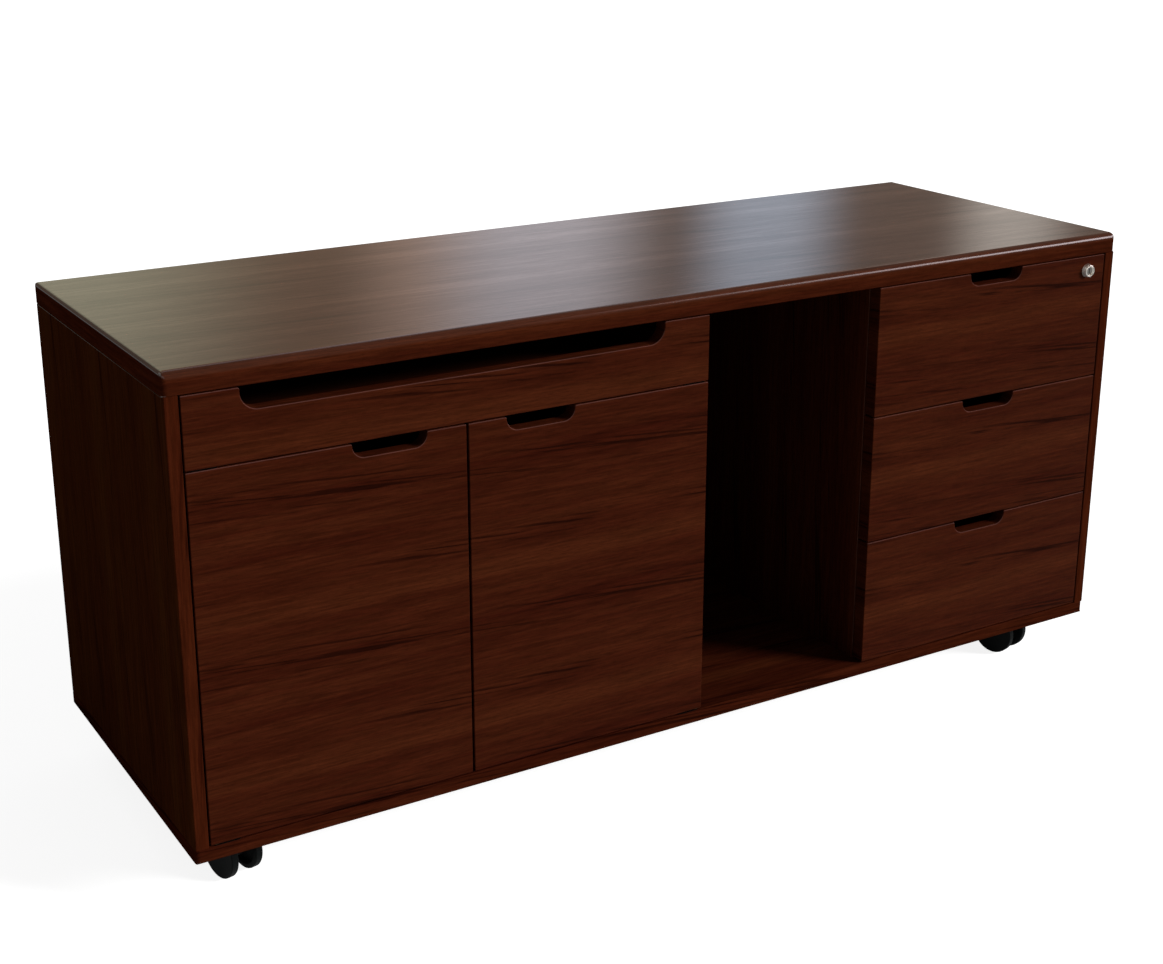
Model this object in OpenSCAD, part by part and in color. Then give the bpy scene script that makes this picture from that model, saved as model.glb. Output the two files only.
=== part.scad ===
// Low side cabinet on four twin-wheel casters: a wide shallow drawer over a
// pair of doors at the left, an open bay, and a stack of three drawers at the
// right, the top one with a lock. Millimetres, +X to the right seen from the
// front, -Y towards the person in front of it, +Z up. The origin is on the
// floor, under the middle of the whole outline.

/* [Body] */
// Width over both side panels
body_w = 1440; // [1300:10:1600]
// Height of the case without its casters
body_h = 600; // [560:5:680]
// Depth of the case from the front plane to the rear edges
body_d = 496; // [470:2:560]

/* [Panels] */
// Thickness of the top
top_t = 28; // [22:1:36]
// Thickness of the bottom panel
bottom_t = 18; // [16:1:22]
// Thickness of each outer side panel
side_t = 18; // [16:1:22]
// Thickness of the two upright dividers
divider_t = 18; // [15:1:22]
// Thickness of the back panel
back_t = 9; // [6:1:14]
// How far the back panel stands in from the rear edges
back_inset = 6; // [2:1:14]
// Thickness of the fixed shelf under the wide drawer
fixed_shelf_t = 16; // [12:1:18]
// Thickness of the loose shelf in the cupboard
loose_shelf_t = 18; // [15:1:22]
// Height of the loose shelf's underside above the cupboard floor
loose_shelf_rise = 216; // [150:2:260]
// How far the loose shelf stands back from the front edges of the boards
loose_shelf_back = 24; // [10:2:60]

/* [Rounded edges] */
// Radius along the front edge of the top
top_front_r = 10; // [4:1:14]
// Radius along the two side edges of the top
top_side_r = 5; // [4:1:12]
// Radius of the case's two upright front corners
corner_r = 7; // [3:1:12]
// Radius of the bottom panel's lower side edges
lower_r = 2; // [2:1:8]
// Small radius that takes the sharpness off every other edge
arris_r = 1.2; // [0.6:0.2:2]

/* [Layout of the front] */
// Width of the doors and of the wide drawer over them, seen from the front
cupboard_w = 698; // [620:2:760]
// Clear width of the open bay
bay_w = 280; // [220:2:340]
// Height of the wide drawer's front
wide_front_h = 86.5; // [84:0.5:100]
// Thickness of the doors and drawer fronts
front_t = 20; // [18:1:22]
// Gap between a front and the side panel beside it
side_gap = 2; // [1.6:0.2:4]
// Gap between the fronts and the top
top_gap = 1.5; // [1:0.5:3]
// Gap between one front and the next one above or below
row_gap = 2; // [2:0.2:4]
// Gap between the two doors
door_gap = 3; // [2:0.5:5]
// Gap between the back of a front and the board edges behind it
rear_gap = 2; // [2:0.5:4]

/* [Finger grips] */
// Width of the cut in a door or a narrow drawer
grip_w = 100; // [80:2:130]
// Depth of the cut in a door or a narrow drawer
grip_depth = 18; // [16:1:24]
// Radius of its two lower corners
grip_r = 16; // [8:1:16]
// Distance from the doors' meeting edge to their grips
door_grip_inset = 50; // [40:2:80]
// Width of the long cut in the wide drawer
long_grip_w = 567; // [460:1:600]
// Depth of the long cut
long_grip_depth = 27.5; // [20:0.5:30]
// Radius of the long cut's two lower corners
long_grip_r = 22; // [12:1:24]
// Radius where a cut meets the top edge of its front
flare_r = 2.5; // [1:0.5:4]

/* [Door hinges] */
// Distance from a door's outer edge to its pivot
pivot_in = 8; // [7.5:0.5:8.5]
// Distance from a door's face to its pivot
pivot_back = 5; // [4.5:0.5:5.5]
// Diameter of the pivot pin
pivot_d = 4; // [3:0.5:4]
// Length of the pivot pin inside the door
pivot_len = 14; // [10:1:20]
// Thickness of the steel pivot leaf
leaf_t = 1.2; // [1:0.1:1.4]
// Length of the leaf's screwed leg, front to back
leaf_len = 48; // [36:2:70]
// Width of the leaf
leaf_w = 9; // [8:0.5:9.5]
// Diameter of the leaf's two screw holes
leaf_hole_d = 3.6; // [3:0.2:4]
// Room between a leaf and the door's edge
leaf_room = 0.4; // [0.3:0.1:0.6]
// Outer diameter of the bush in the door's edge
bush_d = 7; // [6:0.5:7.5]
// Diameter of the flange that the lower bush runs on
bush_flange_d = 9; // [8:0.5:9.5]

/* [Drawer boxes] */
// Thickness of the drawer boxes' sides and ends
box_t = 12; // [9:1:15]
// Thickness of the drawer boxes' bottoms
box_floor_t = 5; // [3:0.5:6]
// Height of that bottom above the lower edge of the box
box_floor_rise = 9; // [6:1:14]
// Depth of the groove that holds the bottom
groove = 5; // [3:0.5:6]
// Length of the drawer boxes
box_len = 430; // [410:5:436]
// Height of the narrow drawers' boxes
box_h = 130; // [100:2:134]
// Height of a narrow box above the lower edge of its front
box_rise = 16; // [12:1:18]
// Height of the wide drawer's box
wide_box_h = 39; // [37:0.5:39.5]
// Gap between the wide drawer's box and the fixed shelf
wide_box_gap = 3.4; // [2:0.2:4]
// How much lower a box's front and rear boards are than its sides
box_end_drop = 4; // [2:0.5:8]

/* [Drawer slides] */
// Width of a closed slide, which fills the gap beside the drawer box
slide_w = 12.7; // [12.2:0.1:13.2]
// Height of the slide's outer member
slide_h = 35; // [31:0.5:36]
// Length of each slide member
slide_len = 400; // [360:5:410]
// Thickness of the slides' steel
slide_t = 1.2; // [1:0.1:1.4]
// Running gap between the slide members
slide_gap = 0.4; // [0.3:0.05:0.6]
// Gap between the two outer members and the drawer box
member_gap = 3.4; // [2.8:0.1:4.4]
// How far the slides stand back from the front edges of the boards
rail_back = 2; // [1:0.5:4]
// Height of the slides' middle above a narrow box's lower edge
slide_rise = 45; // [30:1:60]

/* [Lock] */
// Diameter of the lock's collar at its face
lock_d = 17.4; // [16:0.2:20]
// Diameter of the collar where it meets the drawer front
lock_base_d = 20; // [18:0.5:24]
// How far the collar stands out of the drawer front
lock_out = 7; // [4:0.5:9]
// Diameter of the barrel through the drawer front
barrel_d = 15; // [13:0.5:16]
// Diameter of the plug that the key turns
plug_d = 11; // [9:0.5:11]
// How far the plug's face lies inside the collar
plug_sink = 2.4; // [0.5:0.1:2.5]
// Radius of the collar's edge
lock_edge_r = 1.4; // [0.6:0.1:1.4]
// Diameter of the shallow mouth in the collar, round the plug
lock_mouth_d = 14; // [12.5:0.1:14]
// Depth of that mouth
lock_mouth_deep = 2; // [0.5:0.1:2.2]
// Distance from the case's right side to the lock's middle
lock_from_side = 53.5; // [46:0.5:70]
// Distance from the drawer front's top edge to the lock's middle
lock_below = 20.5; // [19:0.5:22]
// Reach of the cam from the lock's middle
cam_reach = 17; // [15:0.5:17]
// Width of the cam
cam_w = 11; // [8:0.5:12]
// Thickness of the cam
cam_t = 2; // [1.5:0.1:2.5]
// Radius of the cam's tip
cam_tip_r = 4; // [2.5:0.5:4.5]
// Width across the flats of the barrel's nut
nut_af = 19; // [17:0.5:19]
// Thickness of the nut
nut_t = 3.4; // [2.5:0.1:4]
// Width of the key slot
key_slot_w = 1.6; // [1.2:0.1:2]
// Length of the key slot
key_slot_l = 7.2; // [6:0.2:8]
// Depth of the key slot
key_slot_deep = 6; // [4:0.5:10]
// Diameter of the plug's stub that carries the cam
stub_d = 6; // [5:0.5:8]
// Diameter of the screw that holds the cam
cam_screw_d = 3; // [2.5:0.5:4]
// Length of that screw in the plug
cam_screw_len = 5; // [4:0.5:8]
// Thickness of the strike angle
strike_t = 1.5; // [1:0.1:2]
// Width of the strike angle
strike_w = 20; // [16:1:30]
// Length of the strike angle's leg under the top
strike_leg = 18; // [12:1:24]

/* [Casters] */
// Height of a caster from the floor to the case
caster_h = 76; // [72:1:90]
// Diameter of the wheels
wheel_d = 66; // [56:1:68]
// Width of one wheel
wheel_w = 10; // [8:0.5:13]
// Distance between the middles of the two wheels
wheel_pitch = 35; // [30:1:42]
// Distance of the axle behind the swivel pin
trail = 18; // [14:1:24]
// Direction that all the casters were left in, in degrees
caster_turn = 13; // [-60:1:60]
// Distance of the swivel pin from the side of the case
caster_in_x = 80; // [60:1:140]
// Distance of the swivel pin from the front and the rear
caster_in_y = 70; // [60:1:120]
// Side of the square top plate
plate_w = 60; // [54:1:70]
// Thickness of the top plate
plate_t = 2.5; // [2:0.5:4]
// Diameter of the swivel pin
kingpin_d = 10; // [8:0.5:12]
// Length of the swivel pin below the plate
kingpin_len = 18; // [14:1:20]
// Diameter of the axle
axle_d = 6; // [5:0.5:8]
// Height of the fork's round head
race_h = 5; // [4:0.5:6]
// Radius of the fork's round head
race_r = 20; // [16:1:24]
// Radius of the fork's rounded ends
keel_r = 12; // [9:0.5:13]
// Gap between the fork and the hub of a wheel
hub_gap = 0.8; // [0.5:0.1:1.2]
// Thickness of the wheel's skin that hides the end of the axle
hub_cap = 1.6; // [1:0.1:2.5]
// Radius of the wheel's outer edge
wheel_edge_r = 1.6; // [0.8:0.1:3]

/* [Fasteners and small fittings] */
// Diameter of the wood screws in the caster plates
screw_d = 4; // [3:0.5:5]
// Length of those screws in the wood
screw_len = 13; // [10:1:15]
// Height of their heads
screw_head_h = 2.6; // [2:0.1:3.5]
// Diameter of the shelf pins
shelf_pin_d = 5; // [4:0.5:6]
// Depth of a shelf pin in its panel
shelf_pin_in = 8; // [6:1:10]
// Length of a shelf pin under the shelf
shelf_pin_out = 9; // [7:1:12]
// Distance of the shelf pins from the shelf's front and rear edges
shelf_pin_inset = 50; // [30:2:90]
// Width of the double magnetic catch
catch_w = 50; // [40:1:60]
// Depth of the catch, front to back
catch_d = 16; // [12:1:24]
// Height of the catch
catch_h = 12; // [10:0.5:14]
// Thickness of the keeper plate on each door
keeper_t = 1.5; // [1:0.1:1.6]

/* [Hidden] */
$fn = 64;

// Colours
veneer = [0.23, 0.09, 0.05];
veneer_side = [0.15, 0.07, 0.04];
box_wood = [0.24, 0.13, 0.08];
zinc = [0.72, 0.73, 0.74];
bright = [0.85, 0.85, 0.86];
black = [0.05, 0.05, 0.055];

// Small amounts used by many pieces
run = 0.05;    // radial play of a pin that turns
snug = 0.02;   // radial play of a piece that is pressed or screwed in
touch = 0.3;   // gap between pieces that pass close by each other
over = 1;      // how far a cutting shape runs past the piece it cuts
end_room = 1;  // room left at the blind end of a hole

// Places of the case, seen from above
left_x = -body_w / 2;
right_x = body_w / 2;
front_y = -(body_d - lock_out) / 2;
rear_y = front_y + body_d;
left_in = left_x + side_t;
right_in = right_x - side_t;
board_y = front_y + front_t + rear_gap;
back_y = rear_y - back_inset - back_t;

// Heights of the case
case_z = caster_h;
floor_z = case_z + bottom_t;
case_top_z = case_z + body_h;
ceiling_z = case_top_z - top_t;
fronts_low = floor_z + row_gap;
fronts_high = ceiling_z - top_gap;

// Widths and places of the three columns
cupboard_x = left_in + side_gap;
cupboard_end = cupboard_x + cupboard_w;
bay_end = cupboard_end + bay_w;
stack_end = right_in - side_gap;
stack_w = stack_end - bay_end;
left_divider_x = cupboard_end - divider_t;
right_divider_x = bay_end;
stack_in = right_divider_x + divider_t;

// Heights of the fronts
wide_low = fronts_high - wide_front_h;
door_top = wide_low - row_gap;
door_h = door_top - fronts_low;
door_w = (cupboard_w - door_gap) / 2;
right_door_x = cupboard_x + door_w + door_gap;
stack_front_h = (fronts_high - fronts_low - 2 * row_gap) / 3;
lower_low = fronts_low;
middle_low = lower_low + stack_front_h + row_gap;
top_low = middle_low + stack_front_h + row_gap;
meeting_x = cupboard_x + door_w + door_gap / 2;

// The upper leaf lies against the fixed shelf
fixed_shelf_z = door_top + leaf_room + leaf_t;
wide_box_z = fixed_shelf_z + fixed_shelf_t + wide_box_gap;
loose_shelf_z = floor_z + loose_shelf_rise;
loose_shelf_y = board_y + loose_shelf_back;
loose_shelf_end = back_y - 2;

// Drawer boxes
box_y = front_y + front_t;
stack_box_x = stack_in + slide_w;
stack_box_w = right_in - slide_w - stack_box_x;
wide_box_x = left_in + slide_w;
wide_box_w = left_divider_x - slide_w - wide_box_x;
rail_y = board_y + rail_back;

// Lock
lock_x = right_x - lock_from_side;
lock_z = fronts_high - lock_below;
barrel_end = front_y + front_t + nut_t;
cam_y = barrel_end + 0.6;
nut_r = nut_af / 2 / cos(30);
strike_low = lock_z + nut_r + 1;

// Casters
wheel_r = wheel_d / 2;
plate_low = case_z - plate_t;
race_low = plate_low - touch - race_h;
hub_out = 0.4;
hub_r = 8.5;
fork_half = wheel_pitch / 2 - wheel_w / 2 - hub_out - hub_gap;
axle_len = wheel_pitch + wheel_w - 2 * (hub_cap + snug);
screw_grid = plate_w / 2 - 7;

// A corner piece to cut away, so that a sharp corner becomes an arc
module corner_cut(r) {
    difference() {
        translate([-over, -over]) square(r + over);
        translate([r, r]) circle(r);
    }
}

// A rectangle whose corners have their own radii, starting at the lower left
// and going round anticlockwise
module soft_rect(w, h, r) {
    difference() {
        square([w, h]);
        if (r[0] > 0) corner_cut(r[0]);
        if (r[1] > 0) translate([w, 0]) mirror([1, 0]) corner_cut(r[1]);
        if (r[2] > 0) translate([w, h]) rotate(180) corner_cut(r[2]);
        if (r[3] > 0) translate([0, h]) mirror([0, 1]) corner_cut(r[3]);
    }
}

// A board with its lowest corner at p. plan, front and side hold the radii of
// its corners as seen from above, from the front and from the right
module board(p, s, plan = [0, 0, 0, 0], front = [0, 0, 0, 0], side = [0, 0, 0, 0]) {
    translate(p) intersection() {
        linear_extrude(s.z) soft_rect(s.x, s.y, plan);
        translate([0, s.y, 0]) rotate([90, 0, 0]) linear_extrude(s.y) soft_rect(s.x, s.z, front);
        rotate([90, 0, 90]) linear_extrude(s.x) soft_rect(s.y, s.z, side);
    }
}

// A shape round two circles, like a belt round two pulleys
module belt(p, pr, q, qr) {
    d = norm(q - p);
    along = atan2(q.y - p.y, q.x - p.x);
    lean = acos((pr - qr) / d);
    ends = [along + lean, along - lean];
    translate(p) circle(pr);
    translate(q) circle(qr);
    polygon([
        p + pr * [cos(ends[0]), sin(ends[0])],
        p + pr * [cos(ends[1]), sin(ends[1])],
        q + qr * [cos(ends[1]), sin(ends[1])],
        q + qr * [cos(ends[0]), sin(ends[0])]
    ]);
}

// The outline of a finger grip, hanging down from the origin
module grip_outline(w, depth, r, flare) {
    mid_w = w - 2 * flare;
    translate([-mid_w / 2, -depth]) soft_rect(mid_w, depth + over, [r, r, 0, 0]);
    for (s = [-1, 1]) {
        translate([s * mid_w / 2, 0]) scale_x(s) difference() {
            translate([-over, -flare]) square([flare + over, flare + over]);
            translate([flare, -flare]) circle(flare);
        }
    }
}

// Mirrors its children left to right where s is -1
module scale_x(s) {
    if (s < 0) mirror([1, 0, 0]) children();
    else children();
}

// A door or drawer front with a grip in its top edge
module front_board(x, z, w, h, grip_x, cut_w, cut_depth, cut_r) {
    a = arris_r;
    difference() {
        board([x, front_y, z], [w, front_t, h], plan = [a, a, 0, 0],
              front = [a, a, a, a], side = [a, 0, 0, a]);
        translate([grip_x, front_y + front_t + over, z + h]) rotate([90, 0, 0])
            linear_extrude(front_t + 2 * over) grip_outline(cut_w, cut_depth, cut_r, flare_r);
    }
}

// Case

module top_panel() {
    color(veneer)
        board([left_x, front_y, ceiling_z], [body_w, body_d, top_t],
              plan = [corner_r, corner_r, arris_r, arris_r],
              front = [arris_r, arris_r, top_side_r, top_side_r],
              side = [arris_r, arris_r, arris_r, top_front_r]);
}

module bottom_panel() {
    color(veneer) difference() {
        board([left_x, front_y, case_z], [body_w, body_d, bottom_t],
              plan = [corner_r, corner_r, arris_r, arris_r],
              front = [lower_r, lower_r, arris_r, arris_r],
              side = [arris_r, arris_r, arris_r, arris_r]);
        each_caster() each_screw() translate([0, 0, plate_low])
            cylinder(d = screw_d + 2 * snug, h = plate_t + screw_len + snug);
    }
}

module left_side_panel() {
    color(veneer_side) difference() {
        board([left_x, front_y, floor_z], [side_t, body_d, ceiling_z - floor_z],
              plan = [corner_r, arris_r, 0, arris_r],
              front = [arris_r, 0, 0, arris_r]);
        shelf_pin_places(left_in, -1) cylinder(d = shelf_pin_d + 2 * snug, h = shelf_pin_in + snug);
    }
}

module right_side_panel() {
    color(veneer_side)
        board([right_in, front_y, floor_z], [side_t, body_d, ceiling_z - floor_z],
              plan = [arris_r, corner_r, arris_r, 0],
              front = [0, arris_r, arris_r, 0]);
}

module divider(x) {
    board([x, board_y, floor_z], [divider_t, back_y - board_y, ceiling_z - floor_z],
          plan = [arris_r, arris_r, 0, 0]);
}

module left_divider() {
    color(veneer_side) difference() {
        divider(left_divider_x);
        shelf_pin_places(left_divider_x, 1)
            cylinder(d = shelf_pin_d + 2 * snug, h = shelf_pin_in + snug);
    }
}

module right_divider() {
    color(veneer_side) divider(right_divider_x);
}

module back_panel() {
    color(veneer_side)
        translate([left_in, back_y, floor_z]) cube([right_in - left_in, back_t, ceiling_z - floor_z]);
}

module fixed_shelf() {
    color(veneer_side)
        board([left_in, board_y, fixed_shelf_z],
              [left_divider_x - left_in, back_y - board_y, fixed_shelf_t],
              side = [arris_r, 0, 0, arris_r]);
}

module loose_shelf() {
    color(veneer_side)
        board([left_in + touch, loose_shelf_y, loose_shelf_z],
              [left_divider_x - left_in - 2 * touch, loose_shelf_end - loose_shelf_y, loose_shelf_t],
              side = [arris_r, 0, 0, arris_r]);
}

// Puts its children at the two shelf pins of one panel face, pointing along
// +X for side 1 and along -X for side -1
module shelf_pin_places(face_x, side) {
    for (y = [loose_shelf_y + shelf_pin_inset, loose_shelf_end - shelf_pin_inset])
        translate([face_x, y, loose_shelf_z - shelf_pin_d / 2]) rotate([0, 90 * side, 0]) children();
}

// A straight pin, one end in the panel and the other under the shelf
module shelf_pin() {
    translate([0, 0, -shelf_pin_out]) cylinder(d = shelf_pin_d, h = shelf_pin_out + shelf_pin_in);
}

module shelf_pins() {
    color(zinc) {
        shelf_pin_places(left_in, -1) shelf_pin();
        shelf_pin_places(left_divider_x, 1) shelf_pin();
    }
}

// Slides: three steel members, one inside the other. Each profile is drawn
// from the case's face at x = 0 towards the drawer box at x = slide_w

// A channel that is open towards +X, with lips that turn inwards
module channel(x, w, h, lip) {
    translate([x, -h / 2]) difference() {
        square([w, h]);
        translate([slide_t, slide_t]) square([w, h - 2 * slide_t]);
    }
    for (s = [-1, 1]) translate([x + w - slide_t / 2, s * (h - slide_t - lip) / 2])
        square([slide_t, slide_t + lip], center = true);
}

carrier_x = slide_t + slide_gap;
carrier_w = slide_w - member_gap - carrier_x;
carrier_h = slide_h - 2 * slide_t - 2 * (slide_t + slide_gap);
runner_h = carrier_h - 2 * slide_t - 2 * (slide_t + slide_gap);
runner_x = carrier_x + slide_t + slide_gap;

module rail_profile() {
    channel(0, slide_w - member_gap, slide_h, slide_t);
}

module carrier_profile() {
    channel(carrier_x, carrier_w, carrier_h, slide_t);
}

// The drawer's member is a channel that is open towards the case
module runner_profile() {
    translate([slide_w, 0]) mirror([1, 0]) channel(0, slide_w - runner_x, runner_h, 0);
}

// Sets a slide's profile upright at both sides of an opening and draws it out
// along the depth
module slide_pair(from_x, to_x, z) {
    for (s = [-1, 1])
        translate([s < 0 ? from_x : to_x, rail_y, z]) scale_x(-s)
            translate([0, slide_len, 0]) rotate([90, 0, 0]) linear_extrude(slide_len) children();
}

wide_slide_z = wide_box_z + wide_box_h / 2;
lower_slide_z = lower_low + box_rise + slide_rise;
middle_slide_z = middle_low + box_rise + slide_rise;
top_slide_z = top_low + box_rise + slide_rise;

module slide_rails() {
    color(zinc) {
        slide_pair(left_in, left_divider_x, wide_slide_z) rail_profile();
        for (z = [lower_slide_z, middle_slide_z, top_slide_z])
            slide_pair(stack_in, right_in, z) rail_profile();
    }
}

module wide_slide_carriers() {
    color(zinc) slide_pair(left_in, left_divider_x, wide_slide_z) carrier_profile();
}

module top_slide_carriers() {
    color(zinc) slide_pair(stack_in, right_in, top_slide_z) carrier_profile();
}

module middle_slide_carriers() {
    color(zinc) slide_pair(stack_in, right_in, middle_slide_z) carrier_profile();
}

module lower_slide_carriers() {
    color(zinc) slide_pair(stack_in, right_in, lower_slide_z) carrier_profile();
}

module wide_drawer_runners() {
    color(zinc) slide_pair(left_in, left_divider_x, wide_slide_z) runner_profile();
}

module top_drawer_runners() {
    color(zinc) slide_pair(stack_in, right_in, top_slide_z) runner_profile();
}

module middle_drawer_runners() {
    color(zinc) slide_pair(stack_in, right_in, middle_slide_z) runner_profile();
}

module lower_drawer_runners() {
    color(zinc) slide_pair(stack_in, right_in, lower_slide_z) runner_profile();
}

// Drawers

// Two sides, a front board and a back board. The sides and the front board
// have a groove for the bottom, which passes under the back board
module drawer_box(x, z, w, h) {
    floor_low = z + box_floor_rise;
    for (side_x = [x, x + w - box_t]) difference() {
        board([side_x, box_y, z], [box_t, box_len, h], front = [0, 0, arris_r, arris_r]);
        drawer_floor(x, z, w);
    }
    difference() {
        translate([x + box_t + snug, box_y, z]) cube([w - 2 * (box_t + snug), box_t, h - box_end_drop]);
        drawer_floor(x, z, w);
    }
    translate([x + box_t + snug, box_y + box_len - box_t, floor_low + box_floor_t])
        cube([w - 2 * (box_t + snug), box_t, h - box_floor_rise - box_floor_t - box_end_drop]);
}

// The bottom of a drawer, in the grooves of its box
module drawer_floor(x, z, w) {
    translate([x + box_t - groove, box_y + box_t - groove, z + box_floor_rise])
        cube([w - 2 * (box_t - groove), box_len - box_t + groove, box_floor_t]);
}

module wide_drawer_front() {
    color(veneer)
        front_board(cupboard_x, wide_low, cupboard_w, wide_front_h,
                    cupboard_x + cupboard_w / 2, long_grip_w, long_grip_depth, long_grip_r);
}

module wide_drawer_box() {
    color(box_wood) drawer_box(wide_box_x, wide_box_z, wide_box_w, wide_box_h);
}

module wide_drawer_floor() {
    color(box_wood) drawer_floor(wide_box_x, wide_box_z, wide_box_w);
}

module stack_front(z) {
    front_board(bay_end, z, stack_w, stack_front_h, bay_end + stack_w / 2, grip_w, grip_depth, grip_r);
}

module top_drawer_front() {
    color(veneer) difference() {
        stack_front(top_low);
        translate([lock_x, front_y - over, lock_z]) rotate([-90, 0, 0])
            cylinder(d = barrel_d + 2 * snug, h = front_t + 2 * over);
    }
}

module top_drawer_box() {
    color(box_wood) drawer_box(stack_box_x, top_low + box_rise, stack_box_w, box_h);
}

module top_drawer_floor() {
    color(box_wood) drawer_floor(stack_box_x, top_low + box_rise, stack_box_w);
}

module middle_drawer_front() {
    color(veneer) stack_front(middle_low);
}

module middle_drawer_box() {
    color(box_wood) drawer_box(stack_box_x, middle_low + box_rise, stack_box_w, box_h);
}

module middle_drawer_floor() {
    color(box_wood) drawer_floor(stack_box_x, middle_low + box_rise, stack_box_w);
}

module lower_drawer_front() {
    color(veneer) stack_front(lower_low);
}

module lower_drawer_box() {
    color(box_wood) drawer_box(stack_box_x, lower_low + box_rise, stack_box_w, box_h);
}

module lower_drawer_floor() {
    color(box_wood) drawer_floor(stack_box_x, lower_low + box_rise, stack_box_w);
}

// Doors

// Puts its children at the pivot of the left door (side -1) or the right door
// (side 1), with +X towards the middle of the door
module at_pivot(side, z) {
    x = side < 0 ? cupboard_x + pivot_in : cupboard_end - pivot_in;
    translate([x, front_y + pivot_back, z]) scale_x(-side) children();
}

// The holes in a door's lower and upper edges for its two bushes
module bush_holes(side) {
    deep = pivot_len + end_room;
    at_pivot(side, fronts_low - over) cylinder(d = bush_d + 2 * snug, h = deep + over);
    at_pivot(side, door_top - deep) cylinder(d = bush_d + 2 * snug, h = deep + over);
}

module left_door() {
    color(veneer) difference() {
        front_board(cupboard_x, fronts_low, door_w, door_h,
                    cupboard_x + door_w - door_grip_inset - grip_w / 2, grip_w, grip_depth, grip_r);
        bush_holes(-1);
    }
}

module right_door() {
    color(veneer) difference() {
        front_board(right_door_x, fronts_low, door_w, door_h,
                    right_door_x + door_grip_inset + grip_w / 2, grip_w, grip_depth, grip_r);
        bush_holes(1);
    }
}

// A sleeve in the lower edge, with a flange to run on, and one in the upper
module bushes(side) {
    flange_t = row_gap - leaf_t - touch;
    at_pivot(side, fronts_low - flange_t) difference() {
        union() {
            cylinder(d = bush_flange_d, h = flange_t);
            cylinder(d = bush_d, h = flange_t + pivot_len + end_room);
        }
        translate([0, 0, -over]) cylinder(d = pivot_d + 2 * run, h = flange_t + pivot_len + over);
    }
    at_pivot(side, door_top - pivot_len - end_room) difference() {
        cylinder(d = bush_d, h = pivot_len + end_room);
        translate([0, 0, end_room]) cylinder(d = pivot_d + 2 * run, h = pivot_len + over);
    }
}

module left_door_bushes() {
    color(zinc) bushes(-1);
}

module right_door_bushes() {
    color(zinc) bushes(1);
}

// A flat steel leaf that reaches from the pivot pin sideways under the door,
// and then back along the panel that it is screwed to
module leaf_outline() {
    r = leaf_w / 2;
    step = pivot_in + divider_t;
    belt([0, 0], r, [step, 0], r);
    belt([step, 0], r, [step, leaf_len], r);
}

module pivot_leaf() {
    linear_extrude(leaf_t) difference() {
        leaf_outline();
        for (y = [leaf_len * 0.55, leaf_len * 0.95])
            translate([pivot_in + divider_t, y]) circle(d = leaf_hole_d);
    }
    cylinder(d = pivot_d, h = leaf_t + pivot_len - end_room);
}

module pivot_leaves() {
    color(black) for (side = [-1, 1]) {
        at_pivot(side, floor_z) pivot_leaf();
        at_pivot(side, fixed_shelf_z) mirror([0, 0, 1]) pivot_leaf();
    }
}

// A double catch under the fixed shelf, with a magnet for each door
module door_catch() {
    color(black)
        board([meeting_x - catch_w / 2, board_y - rear_gap + keeper_t + touch, fixed_shelf_z - catch_h],
              [catch_w, catch_d, catch_h], plan = [1, 1, 3, 3], front = [2, 2, 0, 0]);
}

// A steel plate on the back of a door, side -1 for the left one
module keeper(side) {
    edge = 2;
    middle = 4;
    low = fixed_shelf_z - catch_h + edge / 2;
    w = catch_w / 2 - edge - middle;
    x = side < 0 ? meeting_x - middle - w : meeting_x + middle;
    board([x, front_y + front_t, low], [w, keeper_t, door_top - edge / 2 - low], front = [1, 1, 1, 1]);
}

module left_door_keeper() {
    color(zinc) keeper(-1);
}

module right_door_keeper() {
    color(zinc) keeper(1);
}

// Lock

// Turns its children so that their +Z points into the cabinet at the lock
module at_lock(y) {
    translate([lock_x, y, lock_z]) rotate([-90, 0, 0]) children();
}

module lock_housing() {
    color(bright) at_lock(front_y - lock_out) difference() {
        union() {
            rotate_extrude() collar_half();
            cylinder(d = barrel_d, h = barrel_end - front_y + lock_out);
        }
        translate([0, 0, -over])
            cylinder(d = plug_d + 2 * run, h = barrel_end - front_y + lock_out + 2 * over);
        translate([0, 0, -over]) cylinder(d = lock_mouth_d, h = over + lock_mouth_deep);
    }
}

// Half of the collar's section: it widens from its rounded face to its base
module collar_half() {
    soft_half(lock_d / 2, lock_out, lock_edge_r);
    polygon([
        [0, lock_edge_r],
        [lock_d / 2, lock_edge_r],
        [lock_base_d / 2, lock_out],
        [0, lock_out],
    ]);
}

// Half of a rectangle beside the axis, with its outer lower corner rounded
module soft_half(w, h, r) {
    difference() {
        square([w, h]);
        translate([w, 0]) mirror([1, 0]) corner_cut(r);
    }
}

module lock_nut() {
    color(zinc) at_lock(front_y + front_t) difference() {
        cylinder(r = nut_r, h = nut_t, $fn = 6);
        translate([0, 0, -over]) cylinder(d = barrel_d + 2 * snug, h = nut_t + 2 * over);
    }
}

module lock_plug() {
    plug_len = cam_y - front_y + lock_out - plug_sink;
    color(bright) at_lock(front_y - lock_out + plug_sink) difference() {
        union() {
            cylinder(d = plug_d, h = plug_len);
            translate([0, 0, plug_len - snug]) cylinder(d = stub_d, h = cam_t + snug);
        }
        translate([-key_slot_w / 2, -key_slot_l / 2, -over])
            cube([key_slot_w, key_slot_l, over + key_slot_deep]);
        translate([0, 0, plug_len + cam_t - cam_screw_len - end_room])
            cylinder(d = cam_screw_d + 2 * snug, h = cam_screw_len + end_room + over);
    }
}

module lock_cam() {
    color(zinc) at_lock(cam_y) linear_extrude(cam_t) difference() {
        belt([0, 0], cam_w / 2, [cam_tip_r - cam_reach, 0], cam_tip_r);
        circle(d = stub_d + 2 * snug);
    }
}

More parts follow.
